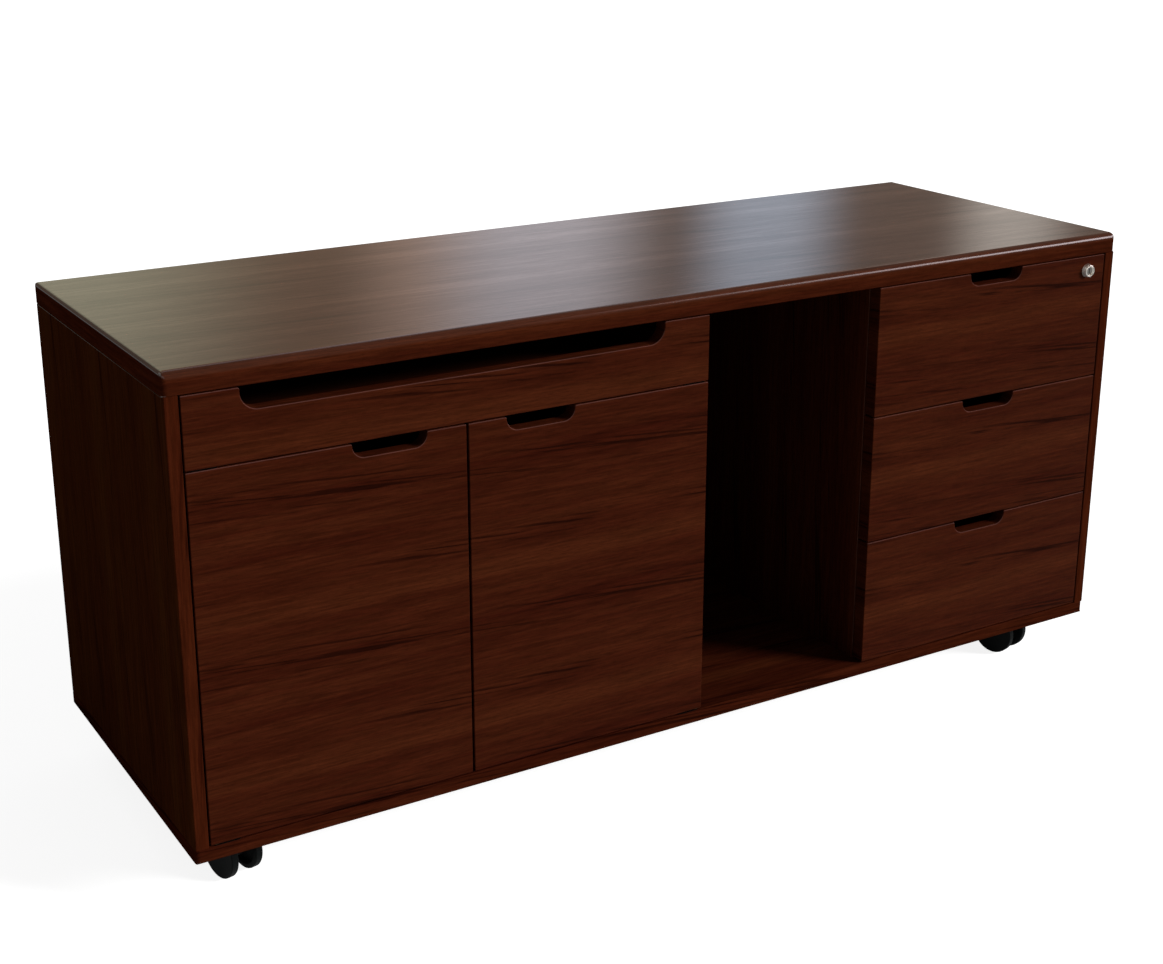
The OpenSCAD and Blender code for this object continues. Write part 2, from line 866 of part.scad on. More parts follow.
// A flat-headed screw with a cross recess
module lock_cam_screw() {
    head_h = 2;
    color(zinc) at_lock(cam_y + cam_t) difference() {
        union() {
            cylinder(d = 2.5 * cam_screw_d, h = head_h);
            translate([0, 0, -cam_screw_len]) cylinder(d = cam_screw_d, h = cam_screw_len + snug);
        }
        for (turn = [0, 90]) rotate(turn)
            translate([0, 0, head_h]) cube([1.6 * cam_screw_d, 0.8, head_h], center = true);
    }
}

// A small angle under the top that the raised cam catches behind
module lock_strike() {
    color(zinc) {
        translate([lock_x - strike_w / 2, board_y, strike_low])
            cube([strike_w, strike_t, ceiling_z - strike_low]);
        translate([lock_x - strike_w / 2, board_y + strike_t - snug, ceiling_z - strike_t])
            cube([strike_w, strike_leg, strike_t]);
    }
}

// Casters

// Where a caster's swivel pin stands: sx is -1 left and 1 right, sy -1 front
function caster_place(sx, sy) = [
    sx * (body_w / 2 - caster_in_x),
    sy < 0 ? front_y + caster_in_y : rear_y - caster_in_y,
    0
];

// Puts its children at one caster, turned as it was left
module at_caster(sx, sy) {
    translate(caster_place(sx, sy)) rotate([0, 0, caster_turn]) children();
}

// The plates are square with the case, so they aren't turned
module each_caster() {
    for (sx = [-1, 1], sy = [-1, 1]) translate(caster_place(sx, sy)) children();
}

module each_screw() {
    for (sx = [-1, 1], sy = [-1, 1]) translate([sx * screw_grid, sy * screw_grid, 0]) children();
}

module caster_plates() {
    color(black) each_caster() {
        difference() {
            translate([-plate_w / 2, -plate_w / 2, plate_low])
                linear_extrude(plate_t) soft_rect(plate_w, plate_w, [8, 8, 8, 8]);
            translate([0, 0, plate_low - over]) {
                each_screw() cylinder(d = screw_d + 1, h = plate_t + 2 * over);
                cylinder(d = kingpin_d + 2 * snug, h = plate_t + 2 * over);
            }
        }
    }
}

// The pins that the forks swivel on, riveted into their plates
module kingpins() {
    color(zinc) each_caster()
        translate([0, 0, plate_low - kingpin_len]) cylinder(d = kingpin_d, h = kingpin_len + plate_t);
}

module caster_screws() {
    color(zinc) each_caster() each_screw() translate([0, 0, plate_low - screw_head_h]) {
        cylinder(d = screw_d, h = screw_head_h + plate_t + screw_len);
        rotate_extrude() soft_half(screw_d, screw_head_h, 1.6);
    }
}

// The fork is a keel between the two wheels under a round swivel head
module fork() {
    lean = 3;
    color(black) difference() {
        union() {
            translate([0, 0, race_low]) rotate_extrude() soft_half(race_r, race_h, race_h / 2);
            translate([-fork_half, 0, 0]) rotate([90, 0, 90]) linear_extrude(2 * fork_half)
                belt([trail, wheel_r], keel_r, [lean, race_low + race_h / 2 - keel_r], keel_r);
        }
        translate([0, 0, plate_low - kingpin_len - end_room])
            cylinder(d = kingpin_d + 2 * run, h = kingpin_len + end_room + over);
        translate([0, trail, wheel_r]) rotate([0, 90, 0])
            cylinder(d = axle_d + 2 * run, h = wheel_pitch, center = true);
    }
}

module axle() {
    color(zinc) translate([0, trail, wheel_r]) rotate([0, 90, 0])
        cylinder(d = axle_d, h = axle_len, center = true);
}

// Half of a wheel's section: a plain outer disc with a rim and a hub on its
// inner side. x is the radius, and y runs across the wheel from its inner face
module wheel_section() {
    rim = 6;
    disc = 3.5;
    difference() {
        translate([0, -hub_out]) square([wheel_r, wheel_w + hub_out]);
        translate([hub_r, -over]) square([wheel_r, over]);
        translate([hub_r, -over]) square([wheel_r - rim - hub_r, over + wheel_w - disc]);
        translate([wheel_r, wheel_w]) rotate(180) corner_cut(wheel_edge_r);
        translate([wheel_r, 0]) mirror([1, 0]) corner_cut(wheel_edge_r);
        translate([-over, -over]) square([over + axle_d / 2 + snug, over + wheel_w - hub_cap]);
    }
}

module wheel() {
    rotate_extrude($fn = 96) wheel_section();
}

module wheels() {
    color(black) translate([0, trail, wheel_r]) for (s = [-1, 1])
        rotate([0, 90 * s, 0]) translate([0, 0, (wheel_pitch - wheel_w) / 2]) wheel();
}

module front_left_fork() { at_caster(-1, -1) fork(); }
module front_left_axle() { at_caster(-1, -1) axle(); }
module front_left_wheels() { at_caster(-1, -1) wheels(); }
module front_right_fork() { at_caster(1, -1) fork(); }
module front_right_axle() { at_caster(1, -1) axle(); }
module front_right_wheels() { at_caster(1, -1) wheels(); }
module rear_left_fork() { at_caster(-1, 1) fork(); }
module rear_left_axle() { at_caster(-1, 1) axle(); }
module rear_left_wheels() { at_caster(-1, 1) wheels(); }
module rear_right_fork() { at_caster(1, 1) fork(); }
module rear_right_axle() { at_caster(1, 1) axle(); }
module rear_right_wheels() { at_caster(1, 1) wheels(); }

top_panel();
bottom_panel();
left_side_panel();
right_side_panel();
left_divider();
right_divider();
back_panel();
fixed_shelf();
loose_shelf();
shelf_pins();
slide_rails();
pivot_leaves();
door_catch();
lock_strike();
caster_plates();
kingpins();
caster_screws();
left_door();
left_door_bushes();
left_door_keeper();
right_door();
right_door_bushes();
right_door_keeper();
wide_drawer_front();
wide_drawer_box();
wide_drawer_floor();
wide_drawer_runners();
wide_slide_carriers();
top_drawer_front();
top_drawer_box();
top_drawer_floor();
top_drawer_runners();
top_slide_carriers();
middle_drawer_front();
middle_drawer_box();
middle_drawer_floor();
middle_drawer_runners();
middle_slide_carriers();
lower_drawer_front();
lower_drawer_box();
lower_drawer_floor();
lower_drawer_runners();
lower_slide_carriers();
lock_housing();
lock_nut();
lock_plug();
lock_cam();
lock_cam_screw();
front_left_fork();
front_left_axle();
front_left_wheels();
front_right_fork();
front_right_axle();
front_right_wheels();
rear_left_fork();
rear_left_axle();
rear_left_wheels();
rear_right_fork();
rear_right_axle();
rear_right_wheels();
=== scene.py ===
# %% [markdown]
# # Low side cabinet on casters
# The cabinet's frame comes ready made and keeps its place and size. This file
# gives it its looks: dark mahogany veneer, a lacquered top that mirrors the
# room, a nickel lock and black casters. Every size is in metres.

import math

import bmesh
import bpy
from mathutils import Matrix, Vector


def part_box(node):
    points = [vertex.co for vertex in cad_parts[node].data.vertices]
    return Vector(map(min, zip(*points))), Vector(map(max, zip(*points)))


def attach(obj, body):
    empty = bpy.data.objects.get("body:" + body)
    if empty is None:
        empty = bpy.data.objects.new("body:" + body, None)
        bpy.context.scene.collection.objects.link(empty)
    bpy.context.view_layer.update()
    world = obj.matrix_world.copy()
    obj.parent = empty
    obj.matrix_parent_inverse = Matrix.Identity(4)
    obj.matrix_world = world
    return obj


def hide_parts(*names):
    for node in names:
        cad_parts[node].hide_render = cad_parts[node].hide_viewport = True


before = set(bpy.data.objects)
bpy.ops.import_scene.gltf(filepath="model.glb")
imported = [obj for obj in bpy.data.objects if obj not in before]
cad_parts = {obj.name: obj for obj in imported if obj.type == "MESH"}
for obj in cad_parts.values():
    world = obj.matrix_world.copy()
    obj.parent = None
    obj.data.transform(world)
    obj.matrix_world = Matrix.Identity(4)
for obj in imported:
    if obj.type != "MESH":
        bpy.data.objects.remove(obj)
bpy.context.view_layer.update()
scene = bpy.context.scene

# %% [markdown]
# ## Camera
# The photograph was taken from the front left, at eye height of somebody who
# stands a good two metres away. It looks a little down, so the cabinet's
# upright edges draw together towards the floor. The shift is a share of the
# frame's width, and stands for the way the picture was cut out.

# %% Put up the camera
CAMERA_PLACE = Vector((-1.2972, -2.0732, 1.2119))
CAMERA_AIM = Vector((-0.2146, -0.2742, 0.5419))
LENS = 0.056076
SENSOR = 0.036
SHIFT = (0.0025, -0.04844)
MM = 0.001

eye = bpy.data.cameras.new("camera")
eye.sensor_fit = "HORIZONTAL"
eye.sensor_width = SENSOR / MM
eye.lens = LENS / MM
eye.shift_x, eye.shift_y = SHIFT
eye.clip_end = 200
camera = bpy.data.objects.new("camera", eye)
camera.location = CAMERA_PLACE
camera.rotation_euler = (CAMERA_AIM - CAMERA_PLACE).to_track_quat("-Z", "Y").to_euler()
scene.collection.objects.link(camera)
scene.camera = camera
print("camera", round((CAMERA_AIM - CAMERA_PLACE).length, 3), "m from what it looks at")

# %% [markdown]
# ## Building shader nodes
# A material is a small net of nodes. One helper that makes a node, fills its
# sockets with values and joins it to other nodes keeps each recipe short.
# A value that is itself a socket becomes a link.

# %% Helpers for node trees
def add(tree, kind, sockets=None, **settings):
    """Make one shader node, set its options, then fill or link its sockets."""
    made = tree.nodes.new("ShaderNode" + kind)
    for option, value in settings.items():
        setattr(made, option, value)
    for socket, value in (sockets or {}).items():
        if isinstance(value, bpy.types.NodeSocket):
            tree.links.new(value, made.inputs[socket])
        else:
            made.inputs[socket].default_value = value
    return made


def maths(tree, operation, *values):
    """One step of arithmetic. Returns the socket with the result."""
    return add(tree, "Math", dict(enumerate(values)), operation=operation).outputs[0]


def remap(tree, value, low, high, to_low=0.0, to_high=1.0):
    """Stretch the range low to high over a new range, with soft ends."""
    sockets = {0: value, 1: low, 2: high, 3: to_low, 4: to_high}
    return add(tree, "MapRange", sockets, interpolation_type="SMOOTHSTEP").outputs[0]


def tint(tree, amount, low, high, blend="MIX"):
    """Mix two colours. Returns the socket with the mixed colour."""
    sockets = {0: amount, 6: low, 7: high}
    return add(tree, "Mix", sockets, data_type="RGBA", blend_type=blend).outputs[2]


def noise(tree, vector, scale, detail=2.0, roughness=0.5):
    """Cloudy grey pattern. Returns its value, which lies around one half."""
    sockets = {"Vector": vector, "Scale": scale, "Detail": detail, "Roughness": roughness}
    return add(tree, "TexNoise", sockets).outputs[0]


def colour(red, green, blue):
    """A colour given the way a picture shows it, 0 to 255, as linear light."""
    def linear(level):
        share = level / 255
        return share / 12.92 if share <= 0.04045 else ((share + 0.055) / 1.055) ** 2.4
    return (linear(red), linear(green), linear(blue), 1.0)


print("a mid brown in linear light:", [round(part, 3) for part in colour(120, 80, 50)])

# %% [markdown]
# ## Mahogany veneer
# Veneer is a real wood skin, sliced off a log in leaves that look almost the
# same and are laid side by side, so the figure comes back every 204 mm. Each
# leaf has one light band and two bunches of thin dark veins that run a little
# downhill; between them lie broad soft streaks, fine fibres and open pores.
# To let the figure come back without a seam, the way across the grain is
# wound round a circle whose edge is one leaf long, and noise is read there.

# %% Shader group for the veneer
LEAF = 0.204
VEIN_SLOPE = math.tan(math.radians(4.0))
LIGHT_BAND = 0.168
NARROW_VEINS = 0.0
BROAD_VEINS = 0.095


def make_veneer_group():
    """Grain along one axis. Inputs are metres along and across the grain."""
    tree = bpy.data.node_groups.new("mahogany grain", "ShaderNodeTree")
    face = tree.interface
    for name in ("Along", "Across"):
        face.new_socket(name=name, in_out="INPUT", socket_type="NodeSocketFloat")
    for name in ("Ground", "Band", "Vein"):
        face.new_socket(name=name, in_out="INPUT", socket_type="NodeSocketColor")
    face.new_socket(name="Colour", in_out="OUTPUT", socket_type="NodeSocketColor")
    face.new_socket(name="Pores", in_out="OUTPUT", socket_type="NodeSocketFloat")
    face.new_socket(name="Fibre", in_out="OUTPUT", socket_type="NodeSocketFloat")
    given = tree.nodes.new("NodeGroupInput").outputs
    result = tree.nodes.new("NodeGroupOutput").inputs

    def wound(slope, stretch):
        """Place on the wound leaf: stretch makes the pattern longer along the grain."""
        drop = maths(tree, "MULTIPLY_ADD", given["Along"], slope, given["Across"])
        angle = maths(tree, "MULTIPLY", drop, 2 * math.pi / LEAF)
        ring = LEAF / (2 * math.pi)
        sockets = {
            0: maths(tree, "MULTIPLY", given["Along"], 1 / stretch),
            1: maths(tree, "MULTIPLY", maths(tree, "COSINE", angle), ring),
            2: maths(tree, "MULTIPLY", maths(tree, "SINE", angle), ring),
        }
        return add(tree, "CombineXYZ", sockets).outputs[0]

    sway = noise(tree, wound(0.0, 5), 14, 1)
    swayed = maths(tree, "MULTIPLY_ADD", sway, 0.016, given["Across"])

    def near(middle, half):
        """1 at one height of the leaf, falling to 0 at half away from it."""
        away = maths(tree, "SUBTRACT", swayed, middle + 0.008 - LEAF / 2)
        away = maths(tree, "FLOORED_MODULO", away, LEAF)
        away = maths(tree, "ABSOLUTE", maths(tree, "SUBTRACT", away, LEAF / 2))
        return remap(tree, away, 0.3 * half, half, 1.0, 0.0)

    streaks = remap(tree, noise(tree, wound(0.0, 24), 36, 5, 0.85), 0.25, 0.75)
    light_band = maths(tree, "MULTIPLY", near(LIGHT_BAND, 0.022), 0.40)
    bands = maths(tree, "MULTIPLY_ADD", streaks, 0.95, light_band)
    bands = maths(tree, "MULTIPLY_ADD", near(BROAD_VEINS, 0.03), -0.20, bands)
    patches = remap(tree, noise(tree, wound(VEIN_SLOPE, 8), 26, 1), 0.32, 0.52)
    bunches = maths(tree, "MAXIMUM", near(NARROW_VEINS, 0.013), near(BROAD_VEINS, 0.034))
    veins = remap(tree, noise(tree, wound(VEIN_SLOPE, 44), 240, 2), 0.52, 0.62)
    fibre = noise(tree, wound(0.0, 20), 260, 3, 0.85)
    pores = remap(tree, noise(tree, wound(VEIN_SLOPE, 6), 700, 1), 0.56, 0.68)

    wood = tint(tree, bands, given["Ground"], given["Band"])
    vein_strength = maths(tree, "MULTIPLY", patches, maths(tree, "MULTIPLY_ADD", bunches, 0.80, 0.12))
    wood = tint(tree, maths(tree, "MULTIPLY", veins, vein_strength), wood, given["Vein"])
    light = remap(tree, fibre, 0.2, 0.8, 0.60, 1.38)
    grey = add(tree, "CombineColor", {0: light, 1: light, 2: light}).outputs[0]
    wood = tint(tree, 1.0, wood, grey, "MULTIPLY")
    wood = tint(tree, maths(tree, "MULTIPLY", pores, 0.22), wood, given["Vein"])
    tree.links.new(wood, result["Colour"])
    tree.links.new(pores, result["Pores"])
    tree.links.new(fibre, result["Fibre"])
    return tree


veneer_group = make_veneer_group()
print("veneer group:", len(veneer_group.nodes), "nodes")

# %% [markdown]
# The grain lies flat along the fronts, the top and the bottom panel, and
# stands upright on the sides and dividers. A board's two other directions
# are added up to one way across, so that the figure runs on round an edge.
# Lacquer lies thick on the level top, and less of it where the wood is dark
# and its pores are open. A thinner coat gleams on rounded edges that look up,
# where hands and cloths polish them. Both are read from the object normal.
# On the fronts, rounded edges that look up are also lightened in colour, a painted highlight, and faces of
# the sides that look left get a painted tint for the cooler light of their shade.

# %% Veneer materials
WAX = (1.0, 0.4, 0.2, 1.0)
# Pale colour that upward rounded front edges are lightened towards: a painted highlight
PAINTED_EDGE_HIGHLIGHT = colour(150, 108, 102)


def rounded_edge(tree, normal, upper_only):
    """1 where a face rounds off towards another side of the board, 0 on the flat."""
    if upper_only:
        looks_up = remap(tree, normal["Z"], 0.05, 0.30)
        return maths(tree, "MULTIPLY", looks_up, remap(tree, normal["Z"], 0.90, 0.995, 1.0, 0.0))
    turned = [maths(tree, "ABSOLUTE", normal[axis]) for axis in "XYZ"]
    widest = maths(tree, "MAXIMUM", maths(tree, "MAXIMUM", turned[0], turned[1]), turned[2])
    return remap(tree, widest, 0.90, 0.995, 1.0, 0.0)


def veneer(name, grain, cut_at, colours, gloss=0.0, lacquer=0.0, edge_coat=0.0,
           upper_only=True, shade_tint=None, pale=0.0):
    """A veneered finish. grain is "X" or "Z", the way the wood runs on the board,
    and cut_at says how far into the leaf the board's middle lies. shade_tint
    multiplies the colour on faces that look to the left: a painted tint for the
    cooler light in their shade. pale says how far rounded edges that look up and
    to the front are lightened towards a pale colour: a painted highlight."""
    made = bpy.data.materials.new(name)
    made.use_nodes = True
    tree = made.node_tree
    skin = tree.nodes["Principled BSDF"]
    spot = add(tree, "TexCoord").outputs
    place = add(tree, "SeparateXYZ", {0: spot["Object"]}).outputs
    normal = add(tree, "SeparateXYZ", {0: spot["Normal"]}).outputs
    rest = [place[axis] for axis in "XYZ" if axis != grain]
    way = -1 if grain == "Z" else 1
    along = place[grain]
    across = maths(tree, "MULTIPLY_ADD", maths(tree, "ADD", *rest), way, cut_at)
    if grain == "X":
        end = maths(tree, "GREATER_THAN", maths(tree, "ABSOLUTE", normal["X"]), 0.7)
        along = add(tree, "Mix", {0: end, 2: along, 3: place["Y"]}).outputs[0]
        across = add(tree, "Mix", {0: end, 2: across, 3: place["Z"]}).outputs[0]
    wood = add(tree, "Group", node_tree=veneer_group)
    tree.links.new(along, wood.inputs["Along"])
    tree.links.new(across, wood.inputs["Across"])
    for socket, value in zip(("Ground", "Band", "Vein"), colours):
        wood.inputs[socket].default_value = value
    base = wood.outputs["Colour"]
    # Faces that look left get their colour multiplied by the tint: a painted tint for the cooler light in
    # their shade
    if shade_tint:
        leftward = maths(tree, "LESS_THAN", normal["X"], -0.7)
        base = tint(tree, leftward, base, tint(tree, 1.0, base, shade_tint, "MULTIPLY"))
    edge = rounded_edge(tree, normal, upper_only)
    # Rounded edges that look up and to the front are lightened: a painted highlight
    if pale:
        highlight_share = remap(tree, normal["Y"], -0.05, -0.25, 0.0, pale)
        base = tint(tree, maths(tree, "MULTIPLY", edge, highlight_share), base, PAINTED_EDGE_HIGHLIGHT)
    coat = maths(tree, "MULTIPLY", edge, edge_coat)
    if lacquer:
        level = remap(tree, normal["Z"], 0.25, 0.75, 0.0, lacquer)
        lightness = add(tree, "SeparateColor", {0: base}).outputs[0]
        filled = remap(tree, lightness, 0.02, 0.075, 0.78, 1.0)
        coat = maths(tree, "MAXIMUM", coat, maths(tree, "MULTIPLY", level, filled))
    tree.links.new(base, skin.inputs["Base Color"])
    tree.links.new(coat, skin.inputs["Coat Weight"])
    skin.inputs["Coat Roughness"].default_value = 0.14
    rough = remap(tree, wood.outputs["Fibre"], 0.3, 0.7, 0.37, 0.49)
    tree.links.new(rough, skin.inputs["Roughness"])
    bump = add(tree, "Bump", {"Height": wood.outputs["Pores"], "Distance": 0.00005, "Strength": 0.3})
    bump.invert = True
    tree.links.new(bump.outputs[0], skin.inputs["Normal"])
    skin.inputs["Specular IOR Level"].default_value = gloss
    skin.inputs["Specular Tint"].default_value = WAX
    return made


MAHOGANY = (colour(50, 16, 7), colour(65, 28, 13), colour(28, 7, 3))
SIDE_LEAF = (colour(54, 18, 7), colour(62, 25, 10), colour(42, 13, 5))
# Drawer box wood, its own colour darkened to about the fronts' tone as painted shade for the dark inside
# of the drawers
BOX_WOOD_AND_SHADE = (colour(58, 25, 13), colour(68, 34, 20), colour(42, 17, 9))
# Multiplies the colour of faces that look left: a painted tint for the cooler light in the shade there
PAINTED_SHADE_TINT = (1.0, 1.38, 1.1, 1.0)
front_veneer = veneer("front veneer", "X", 0.2445, MAHOGANY, gloss=0.025, pale=0.17)
top_veneer = veneer("top veneer", "X", 0.144, MAHOGANY, lacquer=1.0, edge_coat=0.75)
slab_veneer = veneer("slab veneer", "X", 0.2445, MAHOGANY)
side_veneer = veneer("side veneer", "Z", 0.075, SIDE_LEAF, edge_coat=0.3, shade_tint=PAINTED_SHADE_TINT)
divider_veneer = veneer("divider veneer", "Z", 0.02, MAHOGANY, edge_coat=0.2, upper_only=False)
inner_veneer = veneer("inner veneer", "X", 0.2445, MAHOGANY)
box_veneer = veneer("drawer box wood", "X", 0.11, BOX_WOOD_AND_SHADE, gloss=0.02)
print("veneers made")

# %% [markdown]
# ## Metals and mouldings
# The lock is nickel, the slides and screws are zinc plated steel, the door
# keepers too, and the casters are black nylon with black wheels.

# %% Plain materials
def plain(name, base, roughness, metallic=0.0, gloss=0.5, grain=0.0, grain_scale=900):
    """A finish of one colour, with a fine unevenness where grain is above 0."""
    made = bpy.data.materials.new(name)
    made.use_nodes = True
    tree = made.node_tree
    skin = tree.nodes["Principled BSDF"]
    skin.inputs["Base Color"].default_value = base
    skin.inputs["Metallic"].default_value = metallic
    skin.inputs["Roughness"].default_value = roughness
    skin.inputs["Specular IOR Level"].default_value = gloss
    if grain:
        where = add(tree, "TexCoord").outputs["Object"]
        uneven = noise(tree, where, grain_scale, 3)
        rough = remap(tree, uneven, 0.3, 0.7, roughness - grain, roughness + grain)
        tree.links.new(rough, skin.inputs["Roughness"])
        bump = add(tree, "Bump", {"Height": uneven, "Distance": 0.00004, "Strength": 0.25})
        tree.links.new(bump.outputs[0], skin.inputs["Normal"])
    return made


nickel = plain("lock nickel", colour(240, 238, 232), 0.45, metallic=1.0, grain=0.04)
plug_nickel = plain("plug nickel", colour(150, 148, 144), 0.34, metallic=1.0, grain=0.06)
zinc = plain("zinc plate", colour(188, 190, 194), 0.34, metallic=1.0, grain=0.08)
bronze = plain("bronze bush", colour(74, 54, 34), 0.45, metallic=1.0, grain=0.05)
black_steel = plain("black steel", colour(11, 9, 8), 0.6, grain=0.06, gloss=0.0)
nylon = plain("caster nylon", colour(12, 12, 13), 0.5, grain=0.08, gloss=0.1)
wheel_black = plain("wheel black", colour(12, 14, 14), 0.45, grain=0.06, gloss=0.07)
print("metals and mouldings made")

# %% [markdown]
# ## Boards with rounded edges
# A board is a box whose edges have their own radii. The Bevel modifier can
# read a weight for each edge, so one modifier rounds a 10 mm nose and a
# 1 mm arris together. Weighted normals then keep the big faces flat.

# %% Helpers for meshes
SMOOTH_ANGLE = math.radians(35)
FACE_SIDES = {
    "left": Vector((-1, 0, 0)),
    "right": Vector((1, 0, 0)),
    "front": Vector((0, -1, 0)),
    "back": Vector((0, 1, 0)),
    "bottom": Vector((0, 0, -1)),
    "top": Vector((0, 0, 1)),
}


def settle(obj):
    """Turn an object's modifiers into a plain mesh with clean shading."""
    graph = bpy.context.evaluated_depsgraph_get()
    done = bpy.data.meshes.new_from_object(obj.evaluated_get(graph))
    obj.modifiers.clear()
    obj.data = done
    done.shade_smooth()
    done.set_sharp_from_angle(angle=SMOOTH_ANGLE)
    flat = obj.modifiers.new("flat faces", "WEIGHTED_NORMAL")
    flat.keep_sharp = True
    bpy.context.view_layer.update()
    graph = bpy.context.evaluated_depsgraph_get()
    done = bpy.data.meshes.new_from_object(obj.evaluated_get(graph))
    obj.modifiers.clear()
    obj.data = done
    return obj


def new_object(name, bm):
    """An object in the scene from a finished bmesh."""
    mesh = bpy.data.meshes.new(name)
    bm.to_mesh(mesh)
    bm.free()
    obj = bpy.data.objects.new(name, mesh)
    scene.collection.objects.link(obj)
    return obj


def board(name, low, high, radii, segments=5):
    """A board. radii gives the radius of an edge, named by its two faces."""
    bm = bmesh.new()
    bmesh.ops.create_cube(bm, size=1.0)
    size = Vector(high) - Vector(low)
    middle = (Vector(high) + Vector(low)) / 2
    for vert in bm.verts:
        vert.co = Vector(a * b for a, b in zip(vert.co, size)) + middle
    bm.normal_update()
    widest = max(radii.values(), default=0.0)
    weight = bm.edges.layers.float.new("bevel_weight_edge")
    for edge in bm.edges:
        near = {
            side
            for side, way in FACE_SIDES.items()
            if any(face.normal.dot(way) > 0.9 for face in edge.link_faces)
        }
        for pair, radius in radii.items():
            if set(pair.split()) == near:
                edge[weight] = radius / widest
    obj = new_object(name, bm)
    if widest:
        bevel = obj.modifiers.new("edges", "BEVEL")
        bevel.limit_method = "WEIGHT"
        bevel.width = widest
        bevel.segments = segments
        bevel.use_clamp_overlap = False
    return settle(obj)


def dress(obj, material, body, slot, *nodes):
    """Give a piece its finish, its body and the frame's nodes it stands for."""
    obj.data.materials.clear()
    obj.data.materials.append(material)
    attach(obj, body)
    if nodes:
        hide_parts(*nodes)
    return obj


# %% [markdown]
# ## The case
# The top has a full round nose at the front. The two sides are rounded at
# their outer front corners, and so are the top and the bottom panel there, so
# the case reads as one soft box. Every other edge only loses its sharpness.

# %% Boards of the case
TOP_NOSE = 0.010
TOP_SIDE = 0.005
CORNER = 0.007
LOWER = 0.002
ARRIS = 0.0012

case_boards = {
    "top_panel": (top_veneer, "mahogany_veneer", {
        "front top": TOP_NOSE, "left top": TOP_SIDE, "right top": TOP_SIDE,
        "front left": CORNER, "front right": CORNER, "front bottom": ARRIS,
        "left bottom": ARRIS, "right bottom": ARRIS, "back top": ARRIS,
        "back left": ARRIS, "back right": ARRIS, "back bottom": ARRIS,
    }),
    "bottom_panel": (slab_veneer, "mahogany_veneer", {
        "left bottom": LOWER, "right bottom": LOWER, "front left": CORNER,
        "front right": CORNER, "front top": ARRIS, "front bottom": ARRIS,
        "left top": ARRIS, "right top": ARRIS, "back top": ARRIS,
        "back bottom": ARRIS, "back left": ARRIS, "back right": ARRIS,
    }),
    "left_side_panel": (side_veneer, "mahogany_sides", {
        "front left": CORNER, "front right": ARRIS, "back left": ARRIS,
        "left top": ARRIS, "left bottom": ARRIS,
    }),
    "right_side_panel": (side_veneer, "mahogany_sides", {
        "front right": CORNER, "front left": ARRIS, "back right": ARRIS,
        "right top": ARRIS, "right bottom": ARRIS,
    }),
    "left_divider": (divider_veneer, "mahogany_sides", {"front left": ARRIS, "front right": ARRIS}),
    "right_divider": (divider_veneer, "mahogany_sides", {"front left": ARRIS, "front right": ARRIS}),
    "back_panel": (side_veneer, "mahogany_sides", {}),
    "fixed_shelf": (inner_veneer, "mahogany_sides", {"front top": ARRIS, "front bottom": ARRIS}),
    "loose_shelf": (inner_veneer, "mahogany_sides", {"front top": ARRIS, "front bottom": ARRIS}),
}
for node, (material, slot, radii) in case_boards.items():
    piece = board(node + "_board", *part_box(node), radii)
    dress(piece, material, "case", slot, node)
print(len(case_boards), "boards of the case")

# %% [markdown]
# ## Doors and drawer fronts
# Each front has a shallow cut in its top edge, where fingers take hold. Its
# outline is drawn once as seen from the front, with arcs at the corners, and
# pushed back through the thickness. The front edge gets its arris from rings
# that step inwards on a quarter circle, round the cut as well.

# %% Helpers for outlines
def arc(x, z, radius, start, end, steps):
    """Points on an arc from start to end, in degrees."""
    points = []
    for step in range(steps + 1):
        angle = math.radians(start + (end - start) * step / steps)
        points.append(Vector((x + radius * math.cos(angle), z + radius * math.sin(angle))))
    return points


def inward(outline):
    """For each point, the step that moves both its edges 1 m into the shape."""
    steps = []
    for index, point in enumerate(outline):
        before = (point - outline[index - 1]).normalized()
        after = (outline[(index + 1) % len(outline)] - point).normalized()
        left_of = [Vector((-way.y, way.x)) for way in (before, after)]
        steps.append((left_of[0] + left_of[1]) / (1 + left_of[0].dot(left_of[1])))
    return steps


def pushed_outline(name, outline, front, back, front_r, back_r, turns=4):
    """A slab from an outline that goes round anticlockwise seen from the front."""
    steps = inward(outline)
    rings = []
    for depth, radius, towards in ((front, front_r, 1), (back, back_r, -1)):
        half = []
        for turn in range(turns + 1):
            angle = math.pi / 2 * turn / turns
            half.append((radius * (1 - math.sin(angle)), depth + towards * radius * (1 - math.cos(angle))))
        rings += half if towards > 0 else half[::-1]
    bm = bmesh.new()
    loops = []
    for inset, y in rings:
        ring = [p + s * inset for p, s in zip(outline, steps)]
        loops.append([bm.verts.new((p.x, y, p.y)) for p in ring])
    bm.faces.new(loops[0])
    bm.faces.new(loops[-1][::-1])
    for near, far in zip(loops, loops[1:]):
        for index in range(len(outline)):
            after = (index + 1) % len(outline)
            bm.faces.new((near[after], near[index], far[index], far[after]))
    bmesh.ops.remove_doubles(bm, verts=bm.verts, dist=1e-6)
    bmesh.ops.recalc_face_normals(bm, faces=bm.faces)
    return settle(new_object(name, bm))


# %% Fronts with their finger cuts
FLARE = 0.0025
GRIP = {"width": 0.100, "depth": 0.018, "radius": 0.016}
LONG_GRIP = {"width": 0.567, "depth": 0.0275, "radius": 0.022}
DOOR_GRIP_INSET = 0.050
BACK_ARRIS = 0.0004
SAME_POINT = 1e-6


